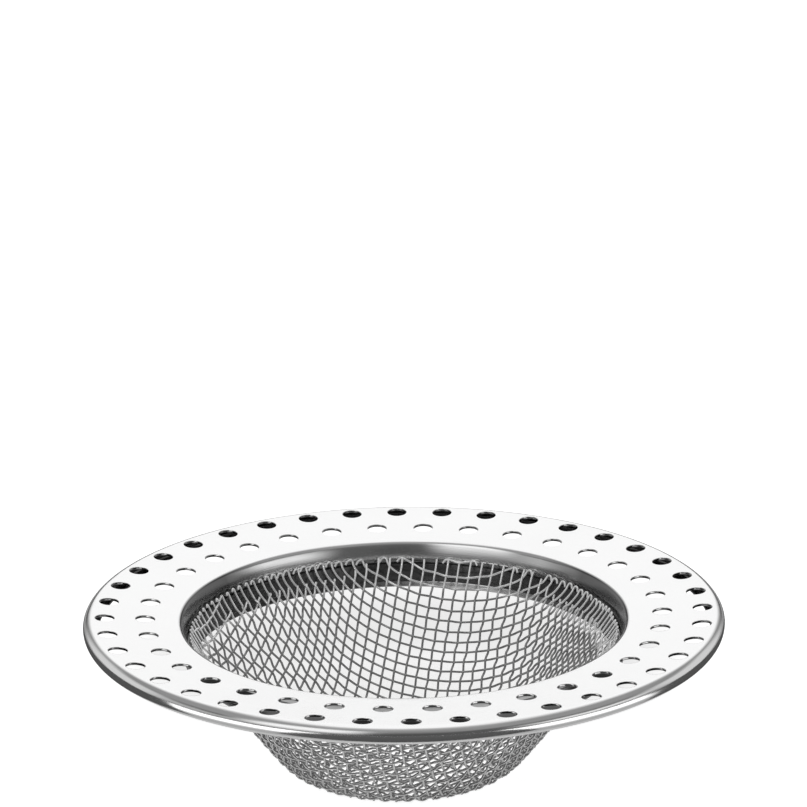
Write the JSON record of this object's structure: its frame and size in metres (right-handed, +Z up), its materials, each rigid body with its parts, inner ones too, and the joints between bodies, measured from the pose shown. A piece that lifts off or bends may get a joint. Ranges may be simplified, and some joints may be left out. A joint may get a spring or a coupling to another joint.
{
  "type": "drain strainer",
  "caption": "Stainless drain strainer: a round perforated brim with a rolled edge and a turned-down collar that holds a flat-bottomed bowl of woven wire cloth.",
  "frame": {"origin": "middle of the bowl's underside, on the surface that it stands on", "axes": "+Z up along the strainer's axis, out of the bowl's mouth; +X to the right and +Y away from the viewer in the picture"},
  "size_m": [0.112, 0.112, 0.029],
  "materials": {
    "polished_sheet": "polished stainless sheet",
    "hoop_strip": "rolled stainless strip",
    "woven_wire": "bright drawn stainless wire"
  },
  "bodies": {
    "root": {"brim": "polished_sheet", "mesh_hoop": "hoop_strip", "warp_wire_01": "woven_wire", "warp_wire_02": "woven_wire", "warp_wire_03": "woven_wire", "warp_wire_04": "woven_wire", "warp_wire_05": "woven_wire", "warp_wire_06": "woven_wire", "warp_wire_07": "woven_wire", "warp_wire_08": "woven_wire", "warp_wire_09": "woven_wire", "warp_wire_10": "woven_wire", "warp_wire_11": "woven_wire", "warp_wire_12": "woven_wire", "warp_wire_13": "woven_wire", "warp_wire_14": "woven_wire", "warp_wire_15": "woven_wire", "warp_wire_16": "woven_wire", "warp_wire_17": "woven_wire", "warp_wire_18": "woven_wire", "warp_wire_19": "woven_wire", "warp_wire_20": "woven_wire", "warp_wire_21": "woven_wire", "warp_wire_22": "woven_wire", "warp_wire_23": "woven_wire", "warp_wire_24": "woven_wire", "warp_wire_25": "woven_wire", "weft_wire_01": "woven_wire", "weft_wire_02": "woven_wire", "weft_wire_03": "woven_wire", "weft_wire_04": "woven_wire", "weft_wire_05": "woven_wire", "weft_wire_06": "woven_wire", "weft_wire_07": "woven_wire", "weft_wire_08": "woven_wire", "weft_wire_09": "woven_wire", "weft_wire_10": "woven_wire", "weft_wire_11": "woven_wire", "weft_wire_12": "woven_wire", "weft_wire_13": "woven_wire", "weft_wire_14": "woven_wire", "weft_wire_15": "woven_wire", "weft_wire_16": "woven_wire", "weft_wire_17": "woven_wire", "weft_wire_18": "woven_wire", "weft_wire_19": "woven_wire", "weft_wire_20": "woven_wire", "weft_wire_21": "woven_wire", "weft_wire_22": "woven_wire", "weft_wire_23": "woven_wire", "weft_wire_24": "woven_wire", "weft_wire_25": "woven_wire"}
  },
  "joints": []
}
